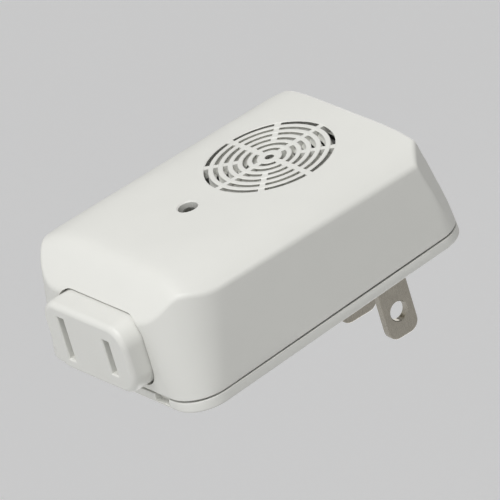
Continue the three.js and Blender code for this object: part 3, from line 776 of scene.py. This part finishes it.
def laminate(slot):
    """Solder mask with the faint relief of the tracks below it."""
    base = COLOUR_OF[slot]
    n = Nodes(slot, base, 0.35)
    brick = n.add("ShaderNodeTexBrick", Scale=120.0)
    n.link(n.place, brick.inputs["Vector"])
    n.vary_colour(brick.outputs["Fac"], base, shifted(base, 1.6), 0, 1)
    n.bump([(brick.outputs["Fac"], 1.0), (n.noise(3000, 2), 0.3)], 0.2, 0.00005)
    return n.material


def foam(slot):
    """Closed-cell foam."""
    base = COLOUR_OF[slot]
    n = Nodes(slot, base, 0.95)
    cells = n.add("ShaderNodeTexVoronoi", Scale=2600.0)
    n.link(n.place, cells.inputs["Vector"])
    n.vary_colour(cells.outputs["Distance"], shifted(base, 1.15), shifted(base, 0.6), 0, 0.7)
    n.bump([(cells.outputs["Distance"], 1.0)], 0.5, 0.0001)
    return n.material


def windings(slot):
    """Enamelled wire wound round a core: fine rings along Y."""
    base = COLOUR_OF[slot]
    n = Nodes(slot, base, 0.3, 1.0)
    rings = n.add("ShaderNodeTexWave", wave_type="BANDS", bands_direction="Y", Scale=900.0, Distortion=0.4)
    n.link(n.place, rings.inputs["Vector"])
    n.vary_colour(rings.outputs["Fac"], shifted(base, 0.55), shifted(base, 1.2), 0, 1)
    n.bump([(rings.outputs["Fac"], 1.0)], 0.5, 0.0001)
    return n.material


def smoked(slot):
    """Dark resin of the unlit lamp, a little see-through."""
    base = COLOUR_OF[slot]
    n = Nodes(slot, base, 0.18)
    n.vary_colour(n.noise(900, 3), shifted(base, 0.7), shifted(base, 1.3))
    n.bump([(n.noise(1200, 2), 1.0)], 0.05, 0.00003)
    n.shader.inputs["Transmission Weight"].default_value = 0.25
    n.shader.inputs["IOR"].default_value = 1.55
    return n.material


MAKERS = {
    "case_plastic": lambda s: moulded(s, 0.42, 9000, 0.16),
    "shutter_plastic": lambda s: moulded(s, 0.36, 12000, 0.1),
    "insulator": lambda s: moulded(s, 0.5, 7000, 0.2),
    "cone_film": lambda s: moulded(s, 0.55, 5000, 0.15),
    "component_black": lambda s: moulded(s, 0.45, 8000, 0.2),
    "component_tan": lambda s: moulded(s, 0.38, 6000, 0.2),
    "blade_metal": lambda s: metal(s, 0.24, contrast=0.06, tone=0.72),
    "brass": lambda s: metal(s, 0.32),
    "steel": lambda s: metal(s, 0.34, (200, 200, 200), 0.1),
    "board_laminate": laminate,
    "film_orange": glossy,
    "sleeve_blue": glossy,
    "wire_red": glossy,
    "wire_black": glossy,
    "wire_white": glossy,
    "copper_wire": windings,
    "led_lens": smoked,
    "foam": foam,
}
MATERIALS = {slot: make(slot) for slot, make in MAKERS.items()}


def dress(obj, slot):
    obj.data.materials.clear()
    obj.data.materials.append(MATERIALS[slot])


def stand_for(obj, node, body="case"):
    """The new piece takes over a CAD node: its place, body and finish."""
    dress(obj, SLOT_OF[node])
    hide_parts(node)
    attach(obj, body)
    return obj


# ---- Stage, light and camera ----

def plain_material(name, colour, roughness):
    n = Nodes(name, colour, roughness)
    n.vary_colour(n.noise(3, 2), shifted(colour, 0.99), shifted(colour, 1.01))
    return n.material


def sweep():
    """A pale backdrop that curves down into a pale floor."""
    back, floor, bend, half = 2.4, -2.4, 0.6, 6
    profile = [(-5.5, floor)] + [(back - bend + bend * math.sin(t), floor + bend - bend * math.cos(t))
                                 for t in (math.pi / 2 * i / 16 for i in range(17))] + [(back, 5.5)]
    vertices = [(side * half, y, z) for y, z in profile for side in (-1, 1)]
    faces = [(2 * i, 2 * i + 1, 2 * i + 3, 2 * i + 2) for i in range(len(profile) - 1)]
    made = mesh_object("sweep", vertices, faces)
    for polygon in made.data.polygons:
        polygon.use_smooth = True
    paper = plain_material("sweep_paper", (0.72, 0.725, 0.735), 0.9)
    shader = paper.node_tree.nodes["Principled BSDF"]
    shader.inputs["Emission Color"].default_value = (1, 1, 1, 1)
    shader.inputs["Emission Strength"].default_value = 0.36
    made.data.materials.append(paper)


def area_light(name, place, target, size, power):
    data = bpy.data.lights.new(name, "AREA")
    data.shape = "DISK"
    data.size = size
    data.energy = power
    made = bpy.data.objects.new(name, data)
    made.location = place
    made.rotation_mode = "QUATERNION"
    made.rotation_quaternion = (Vector(place) - Vector(target)).to_track_quat("Z", "Y")
    bpy.context.scene.collection.objects.link(made)


def lights():
    """Even light from all round, a soft key on the face and weak light on the top and back."""
    world = bpy.data.worlds.new("studio")
    bpy.context.scene.world = world
    world.use_nodes = True
    background = world.node_tree.nodes["Background"]
    background.inputs["Color"].default_value = (1, 0.995, 0.985, 1)
    background.inputs["Strength"].default_value = 0.24
    middle = (0, -0.012, -0.024)
    area_light("key", (0.22, -1.0, -0.27), middle, 0.7, 7.8)
    area_light("top", (-0.6, -0.1, 0.8), middle, 0.8, 2)
    area_light("rear", (-0.1, 0.8, 0.35), middle, 0.6, 2)


# Directions of the picture's right and down sides and of the line of sight, in the row frame.
PICTURE_RIGHT = Vector((0.5878, 0.2586, 0.7666))
PICTURE_DOWN = Vector((0.2414, 0.8483, -0.4712))


CAMERA_DISTANCE = 1.8
FILL = 0.84                            # share of the picture's width that the object takes


def camera():
    """A distant camera, aimed at the middle of what the object covers in the picture."""
    data = bpy.data.cameras.new("camera")
    made = bpy.data.objects.new("camera", data)
    bpy.context.scene.collection.objects.link(made)
    right = PICTURE_RIGHT.normalized()
    down = (PICTURE_DOWN - PICTURE_DOWN.dot(right) * right).normalized()
    sight = right.cross(down)
    points = [node.matrix_world @ v.co for node in NODES.values() for v in node.data.vertices]
    across = [p.dot(right) for p in points]
    below = [p.dot(down) for p in points]
    along = [p.dot(sight) for p in points]
    middle = sum(((min(d) + max(d)) / 2 * axis
                  for d, axis in ((across, right), (below, down), (along, sight))), Vector())
    data.sensor_width = 36
    span = max(max(across) - min(across), max(below) - min(below))
    data.lens = data.sensor_width * CAMERA_DISTANCE * FILL / span
    made.rotation_mode = "QUATERNION"
    made.rotation_quaternion = Matrix((right, -down, -sight)).transposed().to_quaternion()
    made.location = middle - sight * CAMERA_DISTANCE
    data.clip_start, data.clip_end = 0.01, 20
    bpy.context.scene.camera = made


# ---- Build ----

bpy.context.scene.view_settings.view_transform = "Standard"
camera()
lights()
sweep()

for node_name, node_object in NODES.items():
    dress(node_object, SLOT_OF[node_name])

stand_for(front_housing(), "front_housing")
stand_for(rear_cover(), "rear_cover")
stand_for(outlet_block(), "outlet_block")
stand_for(lamp(), "indicator_led")
for node_name in ("line_blade", "neutral_blade"):
    stand_for(blade(node_name), node_name)
for node_name in [n for n in sorted(NODES) if "_screw_" in n]:
    stand_for(screw(node_name), node_name)
for wing in ("line", "neutral"):
    stand_for(shutter(f"{wing}_shutter"), f"{wing}_shutter", f"{wing}_gate")
    spring = stand_for(coil_spring(f"{wing}_shutter_spring"), f"{wing}_shutter_spring")
    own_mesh(spring)
